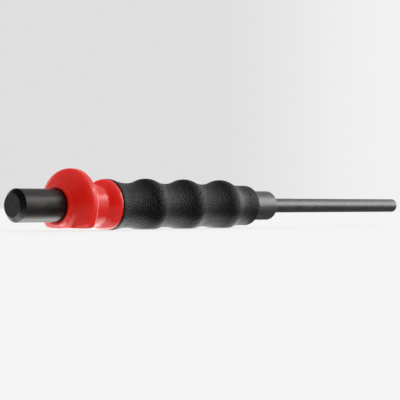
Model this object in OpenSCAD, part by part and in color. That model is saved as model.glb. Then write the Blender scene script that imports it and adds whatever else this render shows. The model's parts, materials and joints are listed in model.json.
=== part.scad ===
// Sheathed pin punch: a one-piece steel punch in a push-on hand guard with a soft grip.
// Lengths are in millimetres. +X runs along the tool to the pin's tip and +Z is up.
// The origin is under the middle of the tool, on the surface that its grip lies on.

/* [Steel punch] */
// Length from the striking face to the pin's tip
punch_length = 230; // [220:1:300]
// Diameter of the round shank
shank_d = 12; // [8:0.1:16]
// Diameter of the parallel pin
pin_d = 5.9; // [2:0.1:8]
// Length of the pin beyond the shoulder
pin_length = 92; // [40:1:100]
// Chamfer round the striking face
head_chamfer = 1.7; // [0.5:0.1:3]
// Chamfer round the shoulder
shoulder_chamfer = 0.5; // [0.1:0.1:0.9]
// Chamfer round the pin's tip
tip_chamfer = 0.4; // [0.1:0.1:0.8]
// Fillet at the root of the pin
root_fillet = 0.8; // [0.2:0.1:1]

/* [Hand guard] */
// Bare shank between the striking face and the guard's nose
guard_setback = 20.2; // [12:0.1:24]
// Reach of the nose ahead of the guard's front
nose_reach = 1.35; // [0.8:0.05:3]
// Diameter of the guard's rim
guard_d = 27; // [24:0.1:34]
// Angle at which the guard's front leans back
guard_rake = 27; // [15:1:40]
// Rounding between the guard's front and its rim
dome_round = 4; // [2:0.1:4.5]
// Width of the straight part of the rim
rim_land = 1.1; // [0.4:0.1:3]
// Rounding of the rim's back edge
rim_round = 1.2; // [0.4:0.1:2]
// Rounding of the nose that lies round the shank
nose_round = 0.6; // [0.2:0.1:0.8]
// Height of the flat under the guard, out from the neck
guard_flat_rise = 0.6; // [0.2:0.1:3.4]

/* [Neck and collar] */
// Wall of the nose and of the neck behind the guard
neck_wall = 1.55; // [1.2:0.05:2.5]
// Fillet between the guard's back and the neck
neck_fillet = 1.5; // [0.5:0.1:2.5]
// Length of the neck between the guard's back and the collar
neck_length = 9.7; // [5:0.1:12]
// Length of the collar up to its fullest diameter
collar_rise = 5; // [4.5:0.1:6]
// Straight end of the collar, against the grip
collar_land = 0.7; // [0.1:0.1:1]
// Height of the collar out from the neck
collar_height = 2.25; // [1.6:0.05:2.4]
// Rounding of the collar's crown
collar_round = 4.7; // [3:0.1:5]

/* [Grip] */
// Distance from the grip's front to the first finger ridge
first_finger = 20.8; // [18:0.1:22]
// Distance from one finger ridge to the next
finger_pitch = 21.2; // [18:0.1:22]
// Number of ridges between the fingers
ridges = 3; // [1:1:3]
// Height of the ridges out from the finger grooves
ridge_height = 1.9; // [1:0.1:3.2]
// Thickness of the grip over the core in the finger grooves
groove_cover = 1.2; // [0.8:0.05:1.8]
// Rounding of the ridges
ridge_round = 8; // [5:0.1:12]
// Step from the collar out to the grip
flare_step = 0.1; // [0:0.05:1.2]
// Thickness of the grip over the core at its end
end_cover = 0.95; // [0.6:0.05:1.6]
// Straight end of the grip beyond its last groove
end_length = 6; // [4.2:0.1:12]
// Rounding of the grip's end
end_round = 1.2; // [0.3:0.1:1.5]
// Height of the flat under the grip and the collar, out from the finger grooves
grip_flat_rise = 0.7; // [0.2:0.1:1.2]

/* [Core and bore] */
// Radial clearance between the bore and the shank
bore_clearance = 0.05; // [0.02:0.01:0.1]
// Chamfer at both mouths of the bore
bore_chamfer = 0.3; // [0.1:0.1:0.5]
// Wall of the core tube that carries the grip
core_wall = 1.15; // [0.8:0.05:1.2]
// Height of the core's rings that key the grip to it
key_height = 1.2; // [0.5:0.1:1.2]
// Width of the core's rings
key_width = 4; // [2:0.1:6]
// Length of the grip's lip that closes over the core's end
end_lip = 2.5; // [1.5:0.1:3.5]

/* [Hidden] */
$fn = 96;
// Straight steps in each arc of an outline
arc_steps = 10;
// Reach of a cut beyond what it cuts
overrun = 1;

// Diameters of the sheath, built up from the shank
bore_d = shank_d + 2 * bore_clearance;
neck_d = bore_d + 2 * neck_wall;
collar_d = neck_d + 2 * collar_height;
core_d = bore_d + 2 * core_wall;
groove_d = core_d + 2 * groove_cover;
ridge_d = groove_d + 2 * ridge_height;
flare_d = collar_d + 2 * flare_step;
end_d = core_d + 2 * end_cover;

// Radii
shank_r = shank_d / 2;
pin_r = pin_d / 2;
guard_r = guard_d / 2;
bore_r = bore_d / 2;
neck_r = neck_d / 2;
collar_r = collar_d / 2;
core_r = core_d / 2;
key_r = core_r + key_height;
groove_r = groove_d / 2;
ridge_r = ridge_d / 2;
flare_r = flare_d / 2;
end_r = end_d / 2;

// Heights from the axis down to the flats
guard_flat = neck_r + guard_flat_rise;
grip_flat = groove_r + grip_flat_rise;

// The guard's front: it leaves the nose, runs straight up to the dome and turns over to the rim
dome_angle = 180 - guard_rake;
dome_r = guard_r - dome_round + dome_round * sin(dome_angle);
nose_at = guard_setback;
front_from = nose_at + nose_reach;
dome_from = front_from + (dome_r - neck_r) * tan(guard_rake);
rim_from = dome_from - dome_round * cos(dome_angle);
guard_back = rim_from + rim_land + rim_round;

// Places along the axis, from the striking face
shoulder_at = punch_length - pin_length;
collar_from = guard_back + neck_length;
collar_full = collar_from + collar_rise;
grip_from = collar_full + collar_land;
grip_to = groove_at(ridges) + end_length;
core_to = grip_to - end_lip;

// Place of a ridge; ridge zero is the flare against the collar
function ridge_at(i) = grip_from + (i == 0 ? 0 : first_finger + (i - 1) * finger_pitch);

// Place of the groove after a ridge; after the last ridge it is where the straight end starts
function groove_at(i) = i == ridges ? ridge_at(i) + finger_pitch / 2 : (ridge_at(i) + ridge_at(i + 1)) / 2;

// Radius of a ridge, where the flare counts as one
function crest_r(i) = i == 0 ? flare_r : ridge_r;

// Points of an arc after its first one; outline points are [along the axis, radius]
function arc_on(centre, radius, from, to) = [
    for (i = [1:arc_steps])
        let (a = from + (to - from) * i / arc_steps)
            [centre[0] + radius * cos(a), centre[1] + radius * sin(a)]
];

// Angle at which two tangent arcs join to cover a run and a rise
function join_angle(run, rise) = 2 * atan(rise / run);

// Radius of the hollow arc that goes with a crest's rounding
function hollow_round(run, rise, crest) = run / sin(join_angle(run, rise)) - crest;

// Hollow arc and then crest, from a low point up to a high one, without the first point
function rising(low, high, crest) =
    let (
        run = high[0] - low[0],
        rise = high[1] - low[1],
        join = join_angle(run, rise),
        hollow = hollow_round(run, rise, crest)
    )
    concat(
        arc_on([low[0], low[1] + hollow], hollow, -90, join - 90),
        arc_on([high[0], high[1] - crest], crest, 90 + join, 90)
    );

// Crest and then hollow arc, from a high point down to a low one, without the first point
function falling(high, low, crest) =
    let (
        run = low[0] - high[0],
        rise = high[1] - low[1],
        join = join_angle(run, rise),
        hollow = hollow_round(run, rise, crest)
    )
    concat(
        arc_on([high[0], high[1] - crest], crest, 90, 90 - join),
        arc_on([low[0], low[1] + hollow], hollow, -90 - join, -90)
    );

// One finger groove and the ridge after it; after the last ridge the grip falls to its end
function finger(i) =
    let (mid = groove_at(i))
    i == ridges
        ? falling([ridge_at(i), crest_r(i)], [mid, end_r], ridge_round)
        : concat(
            falling([ridge_at(i), crest_r(i)], [mid, groove_r], ridge_round),
            rising([mid, groove_r], [ridge_at(i + 1), crest_r(i + 1)], ridge_round)
        );

// All points of a list of lists, in order
function joined(lists) = [for (points = lists) for (p = points) p];

// List in reverse order
function reversed(points) = [for (i = [len(points) - 1:-1:0]) points[i]];

// Outside of the core under the grip: a tube with one ring below each ridge
function core_outline() = concat(
    [[grip_from, core_r]],
    joined([
        for (i = [1:ridges])
            let (a = ridge_at(i) - key_width / 2, b = ridge_at(i) + key_width / 2)
                [[a, core_r], [a, key_r], [b, key_r], [b, core_r]]
    ]),
    [[core_to, core_r]]
);

// Half outline of the punch, closed along its axis
punch_outline = concat(
    [
        [0, 0],
        [0, shank_r - head_chamfer],
        [head_chamfer, shank_r],
        [shoulder_at - shoulder_chamfer, shank_r],
        [shoulder_at, shank_r - shoulder_chamfer],
        [shoulder_at, pin_r + root_fillet]
    ],
    arc_on([shoulder_at + root_fillet, pin_r + root_fillet], root_fillet, 180, 270),
    [
        [punch_length - tip_chamfer, pin_r],
        [punch_length, pin_r - tip_chamfer],
        [punch_length, 0]
    ]
);

// Half outline of the guard, its neck and collar and the core tube, closed along the bore
sleeve_outline = concat(
    [
        [nose_at + bore_chamfer, bore_r],
        [nose_at, bore_r + bore_chamfer],
        [nose_at, neck_r - nose_round]
    ],
    arc_on([nose_at + nose_round, neck_r - nose_round], nose_round, 180, 90),
    [[front_from, neck_r], [dome_from, dome_r]],
    arc_on([rim_from, guard_r - dome_round], dome_round, dome_angle, 90),
    [[guard_back - rim_round, guard_r]],
    arc_on([guard_back - rim_round, guard_r - rim_round], rim_round, 90, 0),
    [[guard_back, neck_r + neck_fillet]],
    arc_on([guard_back + neck_fillet, neck_r + neck_fillet], neck_fillet, 180, 270),
    [[collar_from, neck_r]],
    rising([collar_from, neck_r], [collar_full, collar_r], collar_round),
    [[grip_from, collar_r]],
    core_outline(),
    [[core_to, bore_r]]
);

// Half outline of the soft grip, whose inside follows the core
grip_outline = concat(
    [[grip_from, flare_r]],
    joined([for (i = [0:ridges]) finger(i)]),
    [[grip_to - end_round, end_r]],
    arc_on([grip_to - end_round, end_r - end_round], end_round, 90, 0),
    [
        [grip_to, bore_r + bore_chamfer],
        [grip_to - bore_chamfer, bore_r],
        [core_to, bore_r]
    ],
    reversed(core_outline())
);

// Round piece turned about the tool's axis, which lies above the origin
module turned(outline) {
    translate([-punch_length / 2, 0, grip_flat])
        rotate([0, 90, 0])
            rotate_extrude()
                polygon([for (p = outline) [p[1], p[0]]]);
}

// Everything lower than a height below the axis, from one place along the tool to another
module below(drop, from, to) {
    translate([from - punch_length / 2, -guard_r - overrun, grip_flat - drop - guard_r])
        cube([to - from, 2 * (guard_r + overrun), guard_r]);
}

// Steel punch: chamfered striking head, round shank, shoulder and parallel pin in one piece
module punch() {
    color("dimgray")
        turned(punch_outline);
}

// Red moulding: hand guard, neck and collar, with the core tube that runs inside the grip
module guard_sleeve() {
    color("crimson")
        difference() {
            turned(sleeve_outline);
            below(guard_flat, nose_at - overrun, guard_back + neck_fillet);
            below(grip_flat, collar_from, grip_from + overrun);
        }
}

// Black soft grip, moulded over the core, with a groove for each finger
module grip() {
    color([0.14, 0.14, 0.14])
        difference() {
            turned(grip_outline);
            below(grip_flat, grip_from - overrun, grip_to + overrun);
        }
}

punch();
guard_sleeve();
grip();
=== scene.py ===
"""Looks of a sheathed pin punch: steel punch, red hand guard and soft finger grip.

Every piece is a turned surface on a grid. A row is a place on the piece's outline and a
column is an angle round the tool's axis, counted from straight down. Lengths are in
metres, +X runs along the tool to the pin's tip and +Z is up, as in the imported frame.
"""

import json
import math

import bpy
import numpy as np
from bpy.props import FloatProperty, FloatVectorProperty, IntProperty, PointerProperty
from mathutils import Euler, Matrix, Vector


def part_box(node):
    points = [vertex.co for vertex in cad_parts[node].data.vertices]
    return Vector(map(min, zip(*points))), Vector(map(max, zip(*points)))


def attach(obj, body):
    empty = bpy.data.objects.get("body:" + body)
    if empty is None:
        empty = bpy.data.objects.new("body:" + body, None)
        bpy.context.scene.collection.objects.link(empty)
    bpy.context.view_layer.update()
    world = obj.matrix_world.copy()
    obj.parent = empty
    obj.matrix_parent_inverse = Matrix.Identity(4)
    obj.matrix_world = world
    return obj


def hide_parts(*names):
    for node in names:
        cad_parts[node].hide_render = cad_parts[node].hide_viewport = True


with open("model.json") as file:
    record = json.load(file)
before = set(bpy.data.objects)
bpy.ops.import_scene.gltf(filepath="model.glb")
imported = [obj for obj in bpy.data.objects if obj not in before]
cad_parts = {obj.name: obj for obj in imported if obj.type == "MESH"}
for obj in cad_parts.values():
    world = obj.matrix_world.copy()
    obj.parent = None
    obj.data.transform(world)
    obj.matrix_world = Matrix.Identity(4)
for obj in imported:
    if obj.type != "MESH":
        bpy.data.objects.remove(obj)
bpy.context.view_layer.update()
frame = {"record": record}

bl_info = {
    "name": "Sheathed pin punch",
    "version": (1, 0, 0),
    "blender": (4, 5, 0),
    "location": "3D View > Sidebar > Pin punch",
    "description": "Builds a pin punch with its hand guard and soft grip, and a studio for it",
    "category": "Object",
}

MM = 0.001

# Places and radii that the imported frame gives
PUNCH_LOW, PUNCH_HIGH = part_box("punch")
SLEEVE_LOW, SLEEVE_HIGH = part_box("guard_sleeve")
GRIP_LOW, GRIP_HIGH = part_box("grip")
DRIVE_PIN = next(m for m in frame["record"]["mounts"] if m["name"] == "drive_pin")
AXIS_HEIGHT = DRIVE_PIN["pos_m"][2]
SHANK_RADIUS = (PUNCH_HIGH.y - PUNCH_LOW.y) / 2
GUARD_RADIUS = (SLEEVE_HIGH.y - SLEEVE_LOW.y) / 2
RIDGE_RADIUS = (GRIP_HIGH.y - GRIP_LOW.y) / 2
PIN_RADIUS = DRIVE_PIN["dims"]["r_mm"] * MM

# Distances from the striking face
PIN_TIP = PUNCH_HIGH.x - PUNCH_LOW.x
NOSE = SLEEVE_LOW.x - PUNCH_LOW.x
SLEEVE_END = SLEEVE_HIGH.x - PUNCH_LOW.x
GRIP_START = GRIP_LOW.x - PUNCH_LOW.x
GRIP_END = GRIP_HIGH.x - PUNCH_LOW.x

# Grid of the turned surfaces. STILL spreads a value over all angles, and QUARTER holds the
# turns of a quarter round. Extra rows stand SUPPORT from the ends of a straight, or at
# SUPPORT_LIMIT of its length where it is short
COLUMNS = 288
ARC_ROWS = 9
COLLAR_ROWS = 44
HALF_GROOVE_ROWS = 18
SUPPORT = 0.08 * MM
SUPPORT_LIMIT = 0.25
ANGLES = np.linspace(0, 2 * math.pi, COLUMNS, endpoint=False)[None, :]
STILL = np.zeros_like(ANGLES)
QUARTER = np.linspace(0, math.pi / 2, ARC_ROWS)[:, None]

# Small rounds at the bore's front mouth and at the grip's lip
MOUTH_ROUND = 0.05 * MM
LIP_ROUND = 0.08 * MM

# A flat is looked for where the cosine of the angle from straight down is above FLAT_REACH,
# and elsewhere it counts as FAR away
FLAT_REACH = 0.1
FAR = 1.0

# Most that the guard's two rounds take of its stand over the neck, and rows between the rounds
RIM_SHARE = 0.45
FILLET_SHARE = 0.5
WALL_STEPS = np.array([0.05, 0.5, 0.95])[:, None]

# Sockets of the Mix node that carry colours
MIX_FACTOR, MIX_FIRST, MIX_SECOND, MIX_RESULT = 0, 6, 7, 2

# Nearly all of a noise lies in this span
NOISE_SPAN = (0.3, 0.7)

# Places along X where the steel turns from dark to satin, partly a change of finish and partly
# painted shade that darkens the steel towards the head, and the skin of the striking face
SATIN_AND_SHADE_RUN = (-60 * MM, 0.0)
FACE_SKIN = (PUNCH_LOW.x + 0.05 * MM, PUNCH_LOW.x + 0.2 * MM)

# The floor is mostly a light table. A strip under the sheath glows less on the tool. This is
# painted shade that stands in for the sheath's shadow on the table: it fades out with the square
# of the way from the axis, and ends short of the guard
FLOOR_HALF = 3.0
FLOOR_LEVEL = -0.05 * MM
TABLE_SHARE = 0.86
PAINTED_SHADE_GLOW = 0.65
PAINTED_SHADE_SIDE = ((4 * MM) ** 2, (16 * MM) ** 2)
PAINTED_SHADE_END = (-84 * MM, -92 * MM)

# Backdrop at the horizon: how much brighter its right part is, where that starts, its left
# edge, its foot and top by how steep a ray is, and how far ahead it starts
BACKDROP_GAIN = 1.19
BACKDROP_CHANGE = (0.0, 0.14)
BACKDROP_LEFT = (-0.85, -0.65)
BACKDROP_FOOT = (-0.26, -0.06)
BACKDROP_TOP = (0.56, 0.26)
BACKDROP_AHEAD = (0.5, 0.72)

# Room round the backdrop: greys of its parts, and a ceiling that brightens to the right and
# dims upwards, where a step to the right counts CEILING_LEAN times a step up
ROOM_DARK = 0.2
ROOM_BEHIND = 0.05
ROOM_LEFT = 0.3
ROOM_FLOOR_LINE = (-0.08, 0.0)
CEILING_LEAN = 1.6
CEILING_RUN = (-0.75, 0.6)
CEILING_GREYS = (0.06, 1.5)
CEILING_AHEAD = (-0.1, 0.5)
CEILING_LEFT = (-0.8, -1.0)

# Glows in the room that gloss shows: a level, and from where to where it comes up by how far a
# ray runs up, to the right side and to the front. They are on the right, low on the left
# towards the camera, below and ahead, and steeply below
ROOM_GLOWS = (
    (1.2, {"up": (-0.3, 0.02), "side": (0.6, 0.95), "front": (-0.2, 0.15)}),
    (0.75, {"up": (-0.3, -0.62), "side": (0.1, -0.6), "front": (0.0, -0.35)}),
    (1.0, {"up": (-0.5, -0.62), "side": (0.2, 0.05), "front": (0.3, 0.6)}),
    (2.0, {"up": (-0.74, -0.84), "front": (0.3, 0.0)}),
)

# Fill on matt surfaces: ranges of the ray, each with the levels that it is carried to
FILL_LEVEL = ((-0.7, 0.4), (0.03, 1.35))
FILL_OVERHEAD = ((-0.8, 0.1), (0.3, 1.7))
FILL_RISE = (0.1, 0.8)
FILL_ZENITH = ((0.55, 0.95), (1.0, 0.7))
FILL_SIDE = ((-0.2, 0.8), (1.1, 1.25))

# Lamps, and cards that lie just over the floor: the cards stand in for its reflection, with
# painted shade under the tool
LAMP_DISTANCE = 0.7
CARD_LEVEL = -0.03 * MM
CARD_BACK = 200 * MM
CARD_SHADE_SHARE = 0.4

SENSOR_WIDTH = 36
CLIP_START = 0.01


def length(name, description, default):
    """A length that a user may change."""
    return FloatProperty(
        name=name, description=description, default=default, min=0, precision=5, unit="LENGTH"
    )


def angle(name, description, degrees):
    """An angle that a user may change."""
    return FloatProperty(
        name=name, description=description, default=math.radians(degrees), subtype="ANGLE"
    )


def share(name, description, default):
    """A share from none to all that a user may change."""
    return FloatProperty(
        name=name, description=description, default=default, min=0, max=1, subtype="FACTOR"
    )


def colour(name, description, default):
    """A colour that a user may change, in linear light."""
    return FloatVectorProperty(
        name=name, description=description, default=default, min=0, max=1, size=3,
        subtype="COLOR",
    )


class PunchSizes(bpy.types.PropertyGroup):
    """Sizes of the steel punch."""

    head_chamfer: length("Head chamfer", "Chamfer round the striking face", 1.7 * MM)
    shoulder_at: length("Shoulder", "From the striking face to the shoulder", 138 * MM)
    shoulder_chamfer: length("Shoulder chamfer", "Chamfer round the shoulder", 0.5 * MM)
    tip_chamfer: length("Tip chamfer", "Chamfer round the pin's tip", 0.4 * MM)
    root_fillet: length("Root fillet", "Fillet at the root of the pin", 0.8 * MM)
    edge_round: length("Edge round", "Rounding of the turned edges", 0.16 * MM)


class SleeveSizes(bpy.types.PropertyGroup):
    """Sizes of the red moulding."""

    bore_radius: length("Bore radius", "Radius of the bore", 6.05 * MM)
    bore_chamfer: length("Bore chamfer", "Chamfer at both mouths of the bore", 0.3 * MM)
    neck_radius: length("Neck radius", "Radius of the neck", 7.6 * MM)
    nose_radius: length("Nose radius", "Radius of the nose", 7.6 * MM)
    nose_reach: length("Nose reach", "Reach of the nose ahead of the guard", 1.35 * MM)
    nose_round: length("Nose round", "Rounding of the nose", 0.75 * MM)
    nose_hollow: length("Nose hollow", "Hollow between the nose and the front", 0.75 * MM)
    guard_rake: angle("Guard rake", "Angle at which the guard's front leans back", 27)
    crown_rise: length("Crown rise", "Bulge of the guard's front from a straight", 0.35 * MM)
    crown_round: length("Crown round", "Rounding of the bulge in the guard's front", 10 * MM)
    dome_round: length("Dome round", "Rounding between the guard's front and rim", 4 * MM)
    rim_land: length("Rim land", "Width of the straight part of the rim", 1.1 * MM)
    rim_round: length("Rim round", "Rounding of the rim's back edge", 1.2 * MM)
    guard_flat: length("Guard flat", "From the axis down to the guard's flat", 8.2 * MM)
    guard_blend: length("Guard blend", "Width over which the guard's flat runs into it", 1.8 * MM)
    neck_fillet: length("Neck fillet", "Fillet between the guard and the neck", 0.9 * MM)
    neck_length: length("Neck length", "From the guard's back to the collar", 9.7 * MM)
    collar_rise: length("Collar rise", "Length of the collar up to its fullest", 5 * MM)
    collar_radius: length("Collar radius", "Radius of the collar", 9.85 * MM)
    collar_round: length("Collar round", "Rounding of the collar's crown", 4.7 * MM)
    collar_edge: length("Collar edge", "Rounding of the collar's end", 0.5 * MM)
    collar_blend: length("Collar blend", "Width over which the flat runs into the collar", 1.8 * MM)
    core_radius: length("Core radius", "Radius of the tube inside the grip", 7.2 * MM)
    key_radius: length("Key radius", "Radius of the rings that key the grip", 8.4 * MM)
    key_width: length("Key width", "Width of the rings that key the grip", 4 * MM)


class GripSizes(bpy.types.PropertyGroup):
    """Sizes of the soft grip."""

    first_finger: length("First finger", "From the grip's front to the first ridge", 20.8 * MM)
    finger_pitch: length("Finger pitch", "From one ridge to the next", 21.2 * MM)
    ridges: IntProperty(name="Ridges", description="Ridges between the fingers", default=3)
    groove_radius: length("Groove radius", "Radius in the finger grooves", 8.4 * MM)
    ridge_round: length("Ridge round", "Rounding of the ridges", 8 * MM)
    flare_radius: length("Flare radius", "Radius against the collar", 9.95 * MM)
    flare_edge: length("Flare edge", "Rounding of the edge against the collar", 0.25 * MM)
    end_radius: length("End radius", "Radius of the grip's end", 8.15 * MM)
    end_round: length("End round", "Rounding of the grip's end", 1.2 * MM)
    flat: length("Flat", "From the axis down to the flat under the grip", AXIS_HEIGHT)
    flat_blend: length("Flat blend", "Width over which the flat runs into the round", 0.8 * MM)


class Finishes(bpy.types.PropertyGroup):
    """Colours and surface finish of the three materials."""

    # Head steel is darker partly from its phosphate and partly as painted shade for light falling
    # off towards the head
    head_steel: colour("Head steel", "Phosphated steel at the head", (0.06, 0.057, 0.0555))
    face_steel: colour("Face steel", "Bare steel of the striking face", (0.16, 0.15, 0.145))
    pin_steel: colour("Pin steel", "Satin steel at the pin", (0.119, 0.119, 0.119))
    head_roughness: share("Head roughness", "Roughness of the head's steel", 0.36)
    face_roughness: share("Face roughness", "Roughness of the striking face", 0.6)
    pin_roughness: share("Pin roughness", "Roughness of the pin's steel", 0.42)
    red: colour("Red", "Red of the moulding", (0.91, 0.0125, 0.0055))
    red_roughness: share("Red roughness", "Roughness of the moulding", 0.22)
    soft_black: colour("Soft black", "Colour of the soft grip", (0.0017, 0.0017, 0.0017))
    grip_roughness: share("Grip roughness", "Roughness of the soft grip", 0.46)


class StudioSettings(bpy.types.PropertyGroup):
    """Floor, backdrop, fill and camera."""

    floor: colour("Floor", "Colour of the floor", (0.89, 0.89, 0.89))
    backdrop: colour("Backdrop", "Colour of the backdrop", (0.74, 0.74, 0.74))
    fill: share("Fill", "Light from all round on matt surfaces", 1.0)
    azimuth: angle("Azimuth", "Direction that the camera looks from", -47.4)
    tilt: angle("Tilt", "Angle that the camera looks up", 0.232)
    lens: FloatProperty(
        name="Lens", description="Focal length on a 36 mm sensor", default=122.35, unit="CAMERA"
    )
    head_depth: length("Head depth", "From the camera ahead to the head", 471.4 * MM)
    head_left: length("Head left", "From the camera's middle left to the head", 65.27 * MM)


def punch_sizes():
    """The scene's sizes of the steel punch."""
    return bpy.context.scene.pin_punch_steel


def sleeve_sizes():
    """The scene's sizes of the red moulding."""
    return bpy.context.scene.pin_punch_sleeve


def grip_sizes():
    """The scene's sizes of the soft grip."""
    return bpy.context.scene.pin_punch_grip


def finishes():
    """The scene's colours and finishes."""
    return bpy.context.scene.pin_punch_finishes


def studio():
    """The scene's settings of the studio."""
    return bpy.context.scene.pin_punch_studio


def straight(start, stop, rows):
    """Points of a straight: even steps between two points close to its ends, and the ends.

    The close points keep the shading of the straight flat up to the bends beside it.
    """
    start = np.asarray(start)
    stop = np.asarray(stop)
    close = min(SUPPORT / np.linalg.norm(stop - start), SUPPORT_LIMIT)
    steps = np.concatenate(([0], np.linspace(close, 1 - close, rows), [1]))
    return start + (stop - start) * steps[:, None]


def bend(before, corner, after, radius):
    """Points of a corner's round: the circle that touches both sides of the corner.

    The two touching radii are weighted by the sines of the turn left and the turn done.
    """
    back = (before - corner) / np.linalg.norm(before - corner)
    ahead = (after - corner) / np.linalg.norm(after - corner)
    half = math.acos(np.clip(back @ ahead, -1, 1)) / 2
    middle = (back + ahead) / np.linalg.norm(back + ahead)
    centre = corner + middle * radius / math.sin(half)
    first = corner + back * radius / math.tan(half) - centre
    last = corner + ahead * radius / math.tan(half) - centre
    turn = math.pi - 2 * half
    done = np.linspace(0, turn, ARC_ROWS)[:, None]
    return centre + (first * np.sin(turn - done) + last * np.sin(done)) / math.sin(turn)


def rounded(corners, radii, rows):
    """Outline through corners: each inner corner becomes a bend, with straights between."""
    points = [np.asarray(c, float) for c in corners]
    bends = [bend(*points[i : i + 3], radius) for i, radius in enumerate(radii)]
    ends = [points[0][None], *bends, points[-1][None]]
    runs = [ends[0]]
    for before, after in zip(ends, ends[1:]):
        runs += [straight(before[-1], after[0], rows)[1:], after[1:]]
    return np.vstack(runs)


def swell(away, run, high, low, crest):
    """Radius at a distance away from a crest: a round crest, then a hollow that meets it.

    Both are arcs and share a tangent. The crest's radius is given, and the hollow's is what
    takes the outline from high to low within the run.
    """
    join = 2 * np.arctan((high - low) / run)
    hollow = run / np.sin(join) - crest
    crown = high - crest + np.sqrt(np.maximum(crest**2 - away**2, 0))
    dip = low + hollow - np.sqrt(np.maximum(hollow**2 - (run - away) ** 2, 0))
    return np.where(away < crest * np.sin(join), crown, dip)


def soft_least(a, b, blend):
    """The lesser of two lengths, with a parabola for the change from one to the other."""
    mix = np.clip(0.5 + 0.5 * (b - a) / blend, 0, 1)
    return b + (a - b) * mix - blend * mix * (1 - mix)


def trimmed(radius, drop, blend):
    """Radii cut by a flat that lies a drop below the axis: at an angle from straight down the
    flat is drop / cos(angle) away, and the upper half is left round."""
    down = np.cos(ANGLES)
    flat = np.where(down > FLAT_REACH, drop / np.maximum(down, FLAT_REACH), FAR)
    return soft_least(radius, flat, blend)


def all_round(outline):
    """Rows of an outline that is the same at every angle."""
    return outline[:, :1] + STILL, outline[:, 1:] + STILL


def stacked(*zones):
    """One grid of places along the axis and radii, from zones that follow each other."""
    along = np.vstack([zone[0] for zone in zones])
    radius = np.vstack([zone[1] for zone in zones])
    return along, radius


def turned_points(along, radius):
    """Points of a turned grid: x from the striking face, y = r sin(angle) and
    z = axis - r cos(angle)."""
    x = PUNCH_LOW.x + along
    y = radius * np.sin(ANGLES)
    z = AXIS_HEIGHT - radius * np.cos(ANGLES)
    return np.stack([x, y, z], axis=-1).reshape(-1, 3)


def ring_faces(rows, looped):
    """Quads between neighbouring rows, and from the last row to the first if looped."""
    row = np.arange(rows if looped else rows - 1)[:, None]
    column = np.arange(COLUMNS)[None, :]
    here = row * COLUMNS
    there = (row + 1) % rows * COLUMNS
    beside = (column + 1) % COLUMNS
    quads = [here + column, here + beside, there + beside, there + column]
    return np.stack(quads, axis=-1).reshape(-1, 4)


def smooth_piece(name, points, faces):
    """A mesh object at the origin with smooth shading."""
    mesh = bpy.data.meshes.new(name)
    mesh.from_pydata(points.tolist(), [], faces)
    mesh.shade_smooth()
    mesh.update()
    piece = bpy.data.objects.new(name, mesh)
    bpy.context.scene.collection.objects.link(piece)
    return piece


def hollow_piece(name, along, radius):
    """Turned piece with a bore: its outline is a loop, so its grid closes both ways."""
    faces = ring_faces(len(along), looped=True)
    return smooth_piece(name, turned_points(along, radius), faces.tolist())


def solid_piece(name, outline):
    """Turned piece without a bore: a fan of triangles closes each end on the axis."""
    along, radius = all_round(outline[1:-1])
    poles = np.array([[PUNCH_LOW.x + end, 0, AXIS_HEIGHT] for end in outline[[0, -1], 0]])
    points = np.vstack([turned_points(along, radius), poles])
    last = (len(along) - 1) * COLUMNS
    start = len(points) - 2
    column = np.arange(COLUMNS)
    beside = (column + 1) % COLUMNS
    front = np.stack([np.full(COLUMNS, start), beside, column], axis=-1)
    back = np.stack([np.full(COLUMNS, start + 1), last + column, last + beside], axis=-1)
    faces = ring_faces(len(along), looped=False).tolist() + front.tolist() + back.tolist()
    return smooth_piece(name, points, faces)


def punch_outline(sizes):
    """Outline of the punch, from the middle of its striking face to the middle of its tip."""
    shoulder = sizes.shoulder_at
    corners = [
        (0, 0),
        (0, SHANK_RADIUS - sizes.head_chamfer),
        (sizes.head_chamfer, SHANK_RADIUS),
        (shoulder - sizes.shoulder_chamfer, SHANK_RADIUS),
        (shoulder, SHANK_RADIUS - sizes.shoulder_chamfer),
        (shoulder, PIN_RADIUS),
        (PIN_TIP - sizes.tip_chamfer, PIN_RADIUS),
        (PIN_TIP, PIN_RADIUS - sizes.tip_chamfer),
        (PIN_TIP, 0),
    ]
    edge = sizes.edge_round
    return rounded(corners, [edge, edge, edge, edge, sizes.root_fillet, edge, edge], rows=6)


def core_outline(sleeve, grip):
    """Outline of the tube inside the grip, with one ring below each ridge."""
    core = sleeve.core_radius
    key = sleeve.key_radius
    first = GRIP_START + grip.first_finger
    ridge = first + grip.finger_pitch * np.arange(grip.ridges)[:, None]
    offsets = sleeve.key_width * np.array([-0.5, -0.5, 0.5, 0.5])
    heights = np.broadcast_to([core, key, key, core], (grip.ridges, 4))
    rings = np.stack([ridge + offsets, heights], axis=-1).reshape(-1, 2)
    return np.vstack([[[GRIP_START, core]], rings, [[SLEEVE_END, core]]])


def guard_front(sizes):
    """Zone of the nose and the guard's front: a rounded nose, a hollow, a front that leans back
    and bulges a little, and a dome, trimmed by the guard's flat. Also gives where the rim's
    straight part ends."""
    foot = NOSE + sizes.nose_reach
    lean = math.tan(sizes.guard_rake)
    crown = (sizes.nose_radius + GUARD_RADIUS) / 2
    dome = foot + (GUARD_RADIUS - sizes.neck_radius) * lean
    turn = math.pi / 2 - sizes.guard_rake
    rim_end = dome + sizes.dome_round * math.tan(turn / 2) + sizes.rim_land
    corners = [
        (NOSE + sizes.bore_chamfer, sizes.bore_radius),
        (NOSE, sizes.bore_radius + sizes.bore_chamfer),
        (NOSE, sizes.nose_radius),
        (foot + (sizes.nose_radius - sizes.neck_radius) * lean, sizes.nose_radius),
        (foot + (crown - sizes.neck_radius) * lean - sizes.crown_rise, crown),
        (dome, GUARD_RADIUS),
        (rim_end, GUARD_RADIUS),
    ]
    radii = [
        MOUTH_ROUND,
        sizes.nose_round,
        sizes.nose_hollow,
        sizes.crown_round,
        sizes.dome_round,
    ]
    along, radius = all_round(rounded(corners, radii, rows=8))
    return (along, trimmed(radius, sizes.guard_flat, sizes.guard_blend)), rim_end


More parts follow.
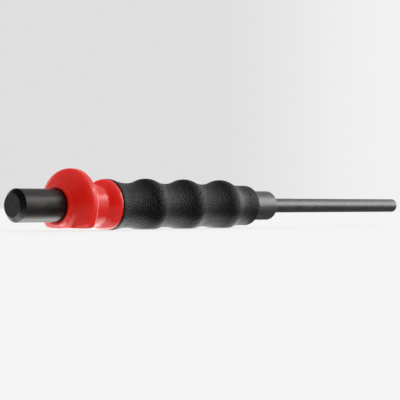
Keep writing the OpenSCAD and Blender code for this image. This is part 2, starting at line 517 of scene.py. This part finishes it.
def guard_back(sizes, back):
    """Zone of the rim's back edge and the neck's fillet. The rim stands h above the neck at
    each angle, and both rounds shrink with h where the flat has cut it down."""
    rim = trimmed(np.array([[GUARD_RADIUS]]), sizes.guard_flat, sizes.guard_blend)
    stand = rim - sizes.neck_radius
    edge = np.minimum(sizes.rim_round, RIM_SHARE * stand)
    fillet = np.minimum(sizes.neck_fillet, FILLET_SHARE * stand)
    top = rim - edge
    foot = sizes.neck_radius + fillet
    wall = top + (foot - top) * WALL_STEPS
    return stacked(
        (back - edge + edge * np.sin(QUARTER), top + edge * np.cos(QUARTER)),
        (np.full_like(wall, back), wall),
        (back + fillet - fillet * np.cos(QUARTER), foot - fillet * np.sin(QUARTER)),
    )


def collar_zone(sizes, drop, start):
    """Zone of the collar: the neck swells into a crown, trimmed by the grip's flat, and its
    end edge is rounded."""
    rise = sizes.collar_rise
    edge = sizes.collar_edge
    place = np.linspace(start, GRIP_START - edge, COLLAR_ROWS)[:, None]
    away = np.maximum(start + rise - place, 0)
    radius = swell(away, rise, sizes.collar_radius, sizes.neck_radius, sizes.collar_round)
    outer = trimmed(radius, drop, sizes.collar_blend)
    turn = QUARTER[1:]
    end = (
        GRIP_START - edge * (1 - np.sin(turn)) + STILL,
        outer[-1:] - edge * (1 - np.cos(turn)),
    )
    return stacked((place + STILL, outer), end)


def sleeve_grid(sleeve, grip):
    """Grid of the red moulding: guard, neck and collar outside, then the core and the bore."""
    front, rim_end = guard_front(sleeve)
    back = rim_end + sleeve.rim_round
    collar = back + sleeve.neck_length
    neck = straight(
        (back + sleeve.neck_fillet + SUPPORT, sleeve.neck_radius),
        (collar - SUPPORT, sleeve.neck_radius),
        rows=5,
    )
    bore = np.array([[SLEEVE_END, sleeve.bore_radius]])
    return stacked(
        front,
        guard_back(sleeve, back),
        all_round(neck),
        collar_zone(sleeve, grip.flat, collar),
        all_round(core_outline(sleeve, grip)),
        all_round(bore),
    )


def finger_zone(sizes):
    """Zone of the finger grooves: from the flare each ridge falls to a groove and rises to the
    next ridge, and the last one falls to the grip's end. Places count half grooves, and the
    first two belong to the first finger. The flat under the grip trims the zone."""
    halves = 2 * sizes.ridges + 1
    first = 2 * sizes.flare_edge / sizes.first_finger
    place = np.linspace(first, halves, HALF_GROOVE_ROWS * halves + 1)[:, None]
    step = np.minimum(np.floor(place), halves - 1)
    crest = np.floor((step + 1) / 2)
    half = np.where(step < 2, sizes.first_finger, sizes.finger_pitch) / 2
    away = half * np.abs(place - 2 * crest)
    high = np.where(crest == 0, sizes.flare_radius, RIDGE_RADIUS)
    low = np.where(step == halves - 1, sizes.end_radius, sizes.groove_radius)
    radius = swell(away, half, high, low, sizes.ridge_round)
    gone = half * place + np.where(step < 2, 0, sizes.first_finger - sizes.finger_pitch)
    return GRIP_START + gone + STILL, trimmed(radius, sizes.flat, sizes.flat_blend)


def grip_grid(sleeve, grip):
    """Grid of the soft grip: rounded flare, finger grooves and rounded end outside, and inside
    the bore's lip and the hollow that the core fills."""
    fingers = finger_zone(grip)
    turn = QUARTER[:-1]
    flare = (
        GRIP_START + grip.flare_edge * (1 - np.cos(turn)) + STILL,
        fingers[1][:1] - grip.flare_edge * (1 - np.sin(turn)),
    )
    corners = [
        (fingers[0][-1, 0] + SUPPORT, grip.end_radius),
        (GRIP_END, grip.end_radius),
        (GRIP_END, sleeve.bore_radius + sleeve.bore_chamfer),
        (GRIP_END - sleeve.bore_chamfer, sleeve.bore_radius),
        (SLEEVE_END, sleeve.bore_radius),
    ]
    close = rounded(corners, [grip.end_round, LIP_ROUND, LIP_ROUND], rows=5)
    core = core_outline(sleeve, grip)
    return stacked(flare, fingers, all_round(close), all_round(core[::-1]))


class Graph:
    """A node tree, with short ways to add nodes to it."""

    def __init__(self, tree):
        self.tree = tree
        self.tree.nodes.clear()

    def add(self, kind, inputs=None, **settings):
        """Adds a node; each input is a socket to link from or a value to set."""
        node = self.tree.nodes.new(kind)
        for name, value in settings.items():
            setattr(node, name, value)
        for key, value in (inputs or {}).items():
            if isinstance(value, bpy.types.NodeSocket):
                self.tree.links.new(value, node.inputs[key])
            else:
                node.inputs[key].default_value = value
        return node

    def place(self):
        """Object coordinates, with a socket for each axis."""
        point = self.add("ShaderNodeTexCoord").outputs["Object"]
        return self.add("ShaderNodeSeparateXYZ", {0: point}).outputs

    def noise(self, scale, detail, roughness, stretch=(1, 1, 1)):
        """Cloudy noise about one half, on object coordinates stretched along each axis."""
        point = self.add("ShaderNodeTexCoord").outputs["Object"]
        mapping = self.add("ShaderNodeMapping", {"Vector": point, "Scale": stretch})
        inputs = {"Vector": mapping.outputs["Vector"], "Scale": scale}
        inputs.update({"Detail": detail, "Roughness": roughness})
        return self.add("ShaderNodeTexNoise", inputs).outputs["Fac"]

    def ranged(self, value, source, target, smooth=False):
        """A value carried from one range to another, and held at its ends."""
        inputs = {"Value": value, "From Min": source[0], "From Max": source[1]}
        inputs.update({"To Min": target[0], "To Max": target[1]})
        kind = "SMOOTHSTEP" if smooth else "LINEAR"
        return self.add("ShaderNodeMapRange", inputs, interpolation_type=kind).outputs["Result"]

    def step(self, value, source):
        """A smooth step from none at the range's first end to all at its second."""
        return self.ranged(value, source, (0.0, 1.0), smooth=True)

    def mixed(self, factor, first, second):
        """A colour between two colours."""
        inputs = {MIX_FACTOR: factor, MIX_FIRST: first, MIX_SECOND: second}
        return self.add("ShaderNodeMix", inputs, data_type="RGBA").outputs[MIX_RESULT]

    def combined(self, operation, first, second):
        """Two numbers put together by an operation."""
        return self.add("ShaderNodeMath", {0: first, 1: second}, operation=operation).outputs[0]

    def product(self, first, *others):
        """Numbers multiplied by each other."""
        for other in others:
            first = self.combined("MULTIPLY", first, other)
        return first

    def dot(self, vector, direction):
        """How far a vector points along a direction."""
        node = self.add("ShaderNodeVectorMath", {0: vector, 1: direction}, operation="DOT_PRODUCT")
        return node.outputs["Value"]

    def bump(self, height, distance, strength, normal=None):
        """Normal of a surface with small heights, on top of a normal if one is given."""
        inputs = {"Height": height, "Distance": distance, "Strength": strength}
        if normal is not None:
            inputs["Normal"] = normal
        return self.add("ShaderNodeBump", inputs).outputs["Normal"]

    def end(self, shader, kind="ShaderNodeOutputMaterial"):
        """Ends the tree in a shader."""
        self.add(kind, {"Surface": shader.outputs[0]})

    def finish(self, inputs):
        """Ends the tree in one surface shader."""
        self.end(self.add("ShaderNodeBsdfPrincipled", inputs))


def opaque(rgb, level=1.0):
    """A colour at a level of its brightness, with full alpha."""
    return (*(level * c for c in rgb), 1.0)


def grey(level):
    """A grey with full alpha."""
    return (level, level, level, 1.0)


def around(middle, below, above):
    """A range that runs from a little below a value to a little above it."""
    return middle - below, middle + above


def new_material(name):
    """An empty node material."""
    material = bpy.data.materials.new(name)
    material.use_nodes = True
    return material, Graph(material.node_tree)


def steel_material(looks):
    """Tool steel: dark and mottled at the head, satin towards the pin, with turning marks. The
    darker head is partly its phosphate and partly painted shade for light that falls off
    towards the head.
    """
    material, graph = new_material("punch_steel")
    along = graph.place()["X"]
    satin_and_shade = graph.step(along, SATIN_AND_SHADE_RUN)
    face = graph.ranged(along, FACE_SKIN, (1.0, 0.0))
    stains = graph.noise(scale=420.0, detail=5.0, roughness=0.6, stretch=(0.35, 1, 1))
    specks = graph.noise(scale=2600.0, detail=2.0, roughness=0.6, stretch=(0.6, 1, 1))
    rings = graph.noise(scale=4200.0, detail=2.0, roughness=0.6, stretch=(1, 0.02, 0.02))
    # Partly painted shade: the colour darkens from the pin steel to the head steel
    shade = graph.mixed(satin_and_shade, opaque(looks.head_steel), opaque(looks.pin_steel))
    shade = graph.mixed(face, shade, opaque(looks.face_steel))
    dim = graph.ranged(stains, NOISE_SPAN, (0.78, 1.2))
    flecks = graph.ranged(specks, (0.35, 0.65), (0.86, 1.12))
    tone = graph.product(dim, flecks)
    tinted = graph.add("ShaderNodeVectorMath", {0: shade, "Scale": tone}, operation="SCALE")
    base = graph.ranged(satin_and_shade, (0.0, 1.0), (looks.head_roughness, looks.pin_roughness))
    base = graph.combined("MAXIMUM", base, graph.product(face, looks.face_roughness))
    spread = graph.ranged(stains, NOISE_SPAN, (-0.05, 0.06))
    normal = graph.bump(rings, distance=0.006 * MM, strength=0.7)
    normal = graph.bump(specks, distance=0.012 * MM, strength=0.7, normal=normal)
    graph.finish({
        "Base Color": tinted.outputs["Vector"],
        "Metallic": 1.0,
        "Roughness": graph.combined("ADD", base, spread),
        "Normal": normal,
    })
    return material


def red_material(looks):
    """Glossy moulded plastic with a faint waviness and slight changes of gloss."""
    material, graph = new_material("guard_red")
    cloud = graph.noise(scale=160.0, detail=3.0, roughness=0.5)
    ripple = graph.noise(scale=700.0, detail=2.0, roughness=0.5)
    deep = opaque(looks.red, 0.95)
    clear = graph.ranged(cloud, NOISE_SPAN, (0.0, 1.0))
    graph.finish({
        "Base Color": graph.mixed(clear, deep, opaque(looks.red)),
        "Roughness": graph.ranged(cloud, NOISE_SPAN, around(looks.red_roughness, 0.03, 0.05)),
        "IOR": 1.5,
        "Normal": graph.bump(ripple, distance=0.004 * MM, strength=0.5),
    })
    return material


def grip_material(looks):
    """Soft black elastomer with an irregular fine grain that catches the light in specks."""
    material, graph = new_material("grip_soft_black")
    coarse = graph.noise(scale=1500.0, detail=1.0, roughness=0.5)
    fine = graph.noise(scale=3600.0, detail=2.0, roughness=0.6)
    patch = graph.noise(scale=110.0, detail=2.0, roughness=0.5)
    # Base colour is paler on the raised peaks of the coarse grain
    grain_peaks = graph.ranged(coarse, (0.42, 0.72), (0.0, 1.0))
    pale = opaque(looks.soft_black, 5.0)
    normal = graph.bump(coarse, distance=0.36 * MM, strength=1.0)
    normal = graph.bump(fine, distance=0.04 * MM, strength=0.8, normal=normal)
    graph.finish({
        "Base Color": graph.mixed(grain_peaks, opaque(looks.soft_black), pale),
        "Roughness": graph.ranged(patch, NOISE_SPAN, around(looks.grip_roughness, 0.06, 0.06)),
        "Specular IOR Level": 0.165,
        "Normal": normal,
    })
    return material


def place_piece(piece, material, body, node):
    """Gives a piece its material and lets it stand for its CAD node on that node's body."""
    piece.data.materials.append(material)
    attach(piece, body)
    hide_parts(node)


class PINPUNCH_OT_steel_punch(bpy.types.Operator):
    """Builds the steel punch with its striking head, shank, shoulder and pin"""

    bl_idname = "pin_punch.steel_punch"
    bl_label = "Steel punch"

    def execute(self, context):
        piece = solid_piece("steel_punch", punch_outline(punch_sizes()))
        place_piece(piece, steel_material(finishes()), "punch", "punch")
        return {"FINISHED"}


class PINPUNCH_OT_red_sleeve(bpy.types.Operator):
    """Builds the red moulding with its guard, neck, collar and core"""

    bl_idname = "pin_punch.red_sleeve"
    bl_label = "Red guard sleeve"

    def execute(self, context):
        piece = hollow_piece("red_sleeve", *sleeve_grid(sleeve_sizes(), grip_sizes()))
        place_piece(piece, red_material(finishes()), "sheath", "guard_sleeve")
        return {"FINISHED"}


class PINPUNCH_OT_finger_grip(bpy.types.Operator):
    """Builds the soft grip with its finger grooves"""

    bl_idname = "pin_punch.finger_grip"
    bl_label = "Finger grip"

    def execute(self, context):
        piece = hollow_piece("finger_grip", *grip_grid(sleeve_sizes(), grip_sizes()))
        place_piece(piece, grip_material(finishes()), "sheath", "grip")
        return {"FINISHED"}


def view_axes(settings):
    """Directions that run right and ahead in the picture, level with the floor."""
    turn = settings.azimuth
    ahead = Vector((-math.sin(turn), math.cos(turn), 0))
    right = Vector((math.cos(turn), math.sin(turn), 0))
    return right, ahead


def add_camera(settings):
    """Camera at the photograph's place: level with the axis, and tilted up a little."""
    right, ahead = view_axes(settings)
    head = Vector((PUNCH_LOW.x, 0, AXIS_HEIGHT))
    data = bpy.data.cameras.new("camera")
    data.lens = settings.lens
    data.sensor_width = SENSOR_WIDTH
    data.clip_start = CLIP_START
    camera = bpy.data.objects.new("camera", data)
    camera.location = head + right * settings.head_left - ahead * settings.head_depth
    aim = ahead + Vector((0, 0, math.tan(settings.tilt)))
    camera.rotation_mode = "QUATERNION"
    camera.rotation_quaternion = aim.to_track_quat("-Z", "Y")
    bpy.context.scene.collection.objects.link(camera)
    bpy.context.scene.camera = camera


def level_plane(name, low, high, level, material):
    """Flat rectangle between two corners at a level, with one material."""
    (left, near), (right, far) = low, high
    points = [(left, near, level), (right, near, level), (right, far, level), (left, far, level)]
    mesh = bpy.data.meshes.new(name)
    mesh.from_pydata(points, [], [[0, 1, 2, 3]])
    mesh.materials.append(material)
    plane = bpy.data.objects.new(name, mesh)
    bpy.context.scene.collection.objects.link(plane)
    return plane


def add_floor(settings):
    """Pale floor under the tool: mostly a light table, so the tool's shadow on it is soft. The
    tool itself gets less of the glow from the strip under its sheath: painted shade, standing
    in for the sheath's shadow on the table."""
    material, graph = new_material("floor_pale")
    tint = opaque(settings.floor)
    matt = graph.add("ShaderNodeBsdfDiffuse", {"Color": tint})
    place = graph.place()
    # Painted shade: the floor's glow on the tool is dimmed near the axis and short of the guard
    beside = graph.ranged(graph.combined("POWER", place["Y"], 2.0), PAINTED_SHADE_SIDE, (0.0, 1.0))
    before = graph.step(place["X"], PAINTED_SHADE_END)
    clear = graph.combined("MAXIMUM", beside, before)
    strip = graph.ranged(clear, (0.0, 1.0), (PAINTED_SHADE_GLOW, 1.0))
    seen = graph.add("ShaderNodeLightPath").outputs["Is Camera Ray"]
    level = graph.combined("MAXIMUM", seen, strip)
    glow = graph.add("ShaderNodeEmission", {"Color": tint, "Strength": level})
    parts = {0: TABLE_SHARE, 1: matt.outputs[0], 2: glow.outputs[0]}
    graph.end(graph.add("ShaderNodeMixShader", parts))
    low = (-FLOOR_HALF, -FLOOR_HALF)
    high = (FLOOR_HALF, FLOOR_HALF)
    floor = level_plane("floor", low, high, FLOOR_LEVEL, material)
    floor.visible_glossy = False


def room_picture(graph, rays, settings):
    """What the camera and gloss see round the tool: a pale backdrop at the horizon that is
    brighter on the right, a ceiling that brightens to the right and is dark behind the
    camera, dark below, and the room's glows."""
    pale = opaque(settings.backdrop)
    bright = opaque(settings.backdrop, BACKDROP_GAIN)
    dark = grey(ROOM_DARK)
    horizon = graph.mixed(graph.step(rays["side"], BACKDROP_CHANGE), pale, bright)
    horizon = graph.mixed(graph.step(rays["side"], BACKDROP_LEFT), dark, horizon)
    lean = graph.product(rays["side"], CEILING_LEAN)
    slope = graph.combined("SUBTRACT", lean, rays["up"])
    ceiling = graph.ranged(slope, CEILING_RUN, CEILING_GREYS)
    ceiling = graph.mixed(graph.step(rays["front"], CEILING_AHEAD), grey(ROOM_BEHIND), ceiling)
    ceiling = graph.mixed(graph.step(rays["side"], CEILING_LEFT), ceiling, grey(ROOM_LEFT))
    room = graph.mixed(graph.step(rays["up"], ROOM_FLOOR_LINE), dark, ceiling)
    for level, edges in ROOM_GLOWS:
        steps = [graph.step(rays[way], edge) for way, edge in edges.items()]
        room = graph.mixed(graph.product(*steps), room, grey(level))
    foot = graph.step(rays["up"], BACKDROP_FOOT)
    top = graph.step(rays["up"], BACKDROP_TOP)
    ahead = graph.step(rays["front"], BACKDROP_AHEAD)
    return graph.mixed(graph.product(foot, top, ahead), room, horizon)


def room_fill(graph, rays, settings):
    """Light on matt surfaces: it grows from behind the camera to ahead, is stronger overhead
    but for the zenith, and grows a little to the right."""
    level = graph.ranged(rays["front"], *FILL_LEVEL, smooth=True)
    overhead = graph.ranged(rays["front"], *FILL_OVERHEAD, smooth=True)
    zenith = graph.ranged(rays["up"], *FILL_ZENITH, smooth=True)
    side = graph.ranged(rays["side"], *FILL_SIDE, smooth=True)
    rise = graph.step(rays["up"], FILL_RISE)
    fill = graph.mixed(rise, level, graph.product(overhead, zenith))
    return graph.product(fill, side, settings.fill)


def add_world(settings):
    """Studio round the tool: camera, gloss and glass see its picture, and matt surfaces get a
    plain fill. Rays are told apart by how far they run up, to the right and ahead."""
    right, ahead = view_axes(settings)
    world = bpy.data.worlds.new("studio")
    world.use_nodes = True
    graph = Graph(world.node_tree)
    ray = graph.add("ShaderNodeTexCoord").outputs["Generated"]
    rays = {
        "up": graph.add("ShaderNodeSeparateXYZ", {0: ray}).outputs["Z"],
        "side": graph.dot(ray, right),
        "front": graph.dot(ray, ahead),
    }
    path = graph.add("ShaderNodeLightPath").outputs
    seen = graph.combined("MAXIMUM", path["Is Camera Ray"], path["Is Glossy Ray"])
    seen = graph.combined("MAXIMUM", seen, path["Is Transmission Ray"])
    fill = room_fill(graph, rays, settings)
    light = graph.mixed(seen, fill, room_picture(graph, rays, settings))
    background = graph.add("ShaderNodeBackground", {"Color": light, "Strength": 1.0})
    graph.end(background, "ShaderNodeOutputWorld")
    bpy.context.scene.world = world


def add_softbox(name, direction, width, height, glow):
    """Rectangular lamp that shows only in gloss. It stands in a direction from the tool's
    middle, faces it and is as bright as its glow: a matt lamp of that area and brightness
    gives pi * area * glow watts."""
    middle = Vector((0, 0, AXIS_HEIGHT))
    way = Vector(direction) * LAMP_DISTANCE
    data = bpy.data.lights.new(name, "AREA")
    data.shape = "RECTANGLE"
    data.size = width
    data.size_y = height
    data.energy = math.pi * width * height * glow
    lamp = bpy.data.objects.new(name, data)
    lamp.location = middle + way
    lamp.rotation_mode = "QUATERNION"
    lamp.rotation_quaternion = (-way).to_track_quat("-Z", "Y")
    lamp.visible_camera = False
    lamp.visible_diffuse = False
    bpy.context.scene.collection.objects.link(lamp)


def add_card(name, corner, width, depth, slant, soft, glow):
    """Glowing card on the floor that shows only in gloss, with its lengths in millimetres and
    its slant in degrees. Its front edge starts at the corner and slants towards the camera.
    Ahead of the edge the glow fades with the square of the way across a soft strip, and
    beyond the depth it fades to a share of itself: painted shade where the tool shades the
    floor beneath it. The card stands in for the lit floor in reflection."""
    front = -soft * MM
    material, graph = new_material(name)
    across = graph.place()["Y"]
    rise = graph.combined("POWER", graph.ranged(across, (front, 0.0), (0.0, 1.0)), 2.0)
    end = (depth * MM, (depth + soft) * MM)
    # Painted shade: past the depth the glow drops, as though the floor under the tool lay in its
    # shadow
    painted_shade_fall = graph.ranged(across, end, (1.0, CARD_SHADE_SHARE), smooth=True)
    graph.end(graph.add("ShaderNodeEmission", {"Strength": graph.product(rise, painted_shade_fall, glow)}))
    card = level_plane(name, (0, front), (width * MM, CARD_BACK), 0, material)
    card.location = (corner[0] * MM, corner[1] * MM, CARD_LEVEL)
    card.rotation_euler = Euler((0, 0, -math.radians(slant)))
    card.visible_camera = False
    card.visible_diffuse = False
    card.visible_shadow = False


def add_lamps():
    """Key softbox beyond the pin on the right, a wide one behind the pin, and three cards: one
    under the head, a narrow one under the neck and a long one under the sheath."""
    add_softbox("key", (0.758, -0.528, 0.383), width=0.245, height=0.51, glow=4.7)
    add_softbox("rim", (0.986, 0, 0.165), width=0.4, height=0.215, glow=4.5)
    add_card("head_card", (-117, -3.3), width=30, depth=3.4, slant=2, soft=2, glow=3.5)
    add_card("neck_card", (-79.3, -3.1), width=2.8, depth=1.5, slant=2, soft=2, glow=2.2)
    add_card("sheath_card", (-76.5, -5.6), width=85.2, depth=200, slant=3.2, soft=5, glow=2.6)


class PINPUNCH_OT_studio(bpy.types.Operator):
    """Sets up the floor, the backdrop, the lamps and the camera"""

    bl_idname = "pin_punch.studio"
    bl_label = "Studio"

    def execute(self, context):
        settings = studio()
        add_floor(settings)
        add_world(settings)
        add_lamps()
        add_camera(settings)
        context.scene.view_settings.view_transform = "Standard"
        return {"FINISHED"}


class PINPUNCH_PT_sidebar(bpy.types.Panel):
    """Lists the pieces and their settings"""

    bl_idname = "PINPUNCH_PT_sidebar"
    bl_label = "Sheathed pin punch"
    bl_space_type = "VIEW_3D"
    bl_region_type = "UI"
    bl_category = "Pin punch"

    def draw(self, context):
        for operator in OPERATORS:
            self.layout.operator(operator.bl_idname)
        for group in (punch_sizes(), sleeve_sizes(), grip_sizes(), finishes(), studio()):
            box = self.layout.box()
            for name in group.bl_rna.properties.keys():
                if name not in ("rna_type", "name"):
                    box.prop(group, name)


GROUPS = {
    "pin_punch_steel": PunchSizes,
    "pin_punch_sleeve": SleeveSizes,
    "pin_punch_grip": GripSizes,
    "pin_punch_finishes": Finishes,
    "pin_punch_studio": StudioSettings,
}
OPERATORS = (
    PINPUNCH_OT_studio,
    PINPUNCH_OT_steel_punch,
    PINPUNCH_OT_red_sleeve,
    PINPUNCH_OT_finger_grip,
)


def register():
    """Registers the settings, operators and panel."""
    for name, group in GROUPS.items():
        bpy.utils.register_class(group)
        setattr(bpy.types.Scene, name, PointerProperty(type=group))
    for item in (*OPERATORS, PINPUNCH_PT_sidebar):
        bpy.utils.register_class(item)


def unregister():
    """Takes back what register did."""
    for item in (PINPUNCH_PT_sidebar, *reversed(OPERATORS)):
        bpy.utils.unregister_class(item)
    for name, group in reversed(GROUPS.items()):
        delattr(bpy.types.Scene, name)
        bpy.utils.unregister_class(group)


def main():
    """Builds the tool and its studio."""
    register()
    bpy.ops.pin_punch.studio()
    bpy.ops.pin_punch.steel_punch()
    bpy.ops.pin_punch.red_sleeve()
    bpy.ops.pin_punch.finger_grip()


if __name__ == "__main__":
    main()
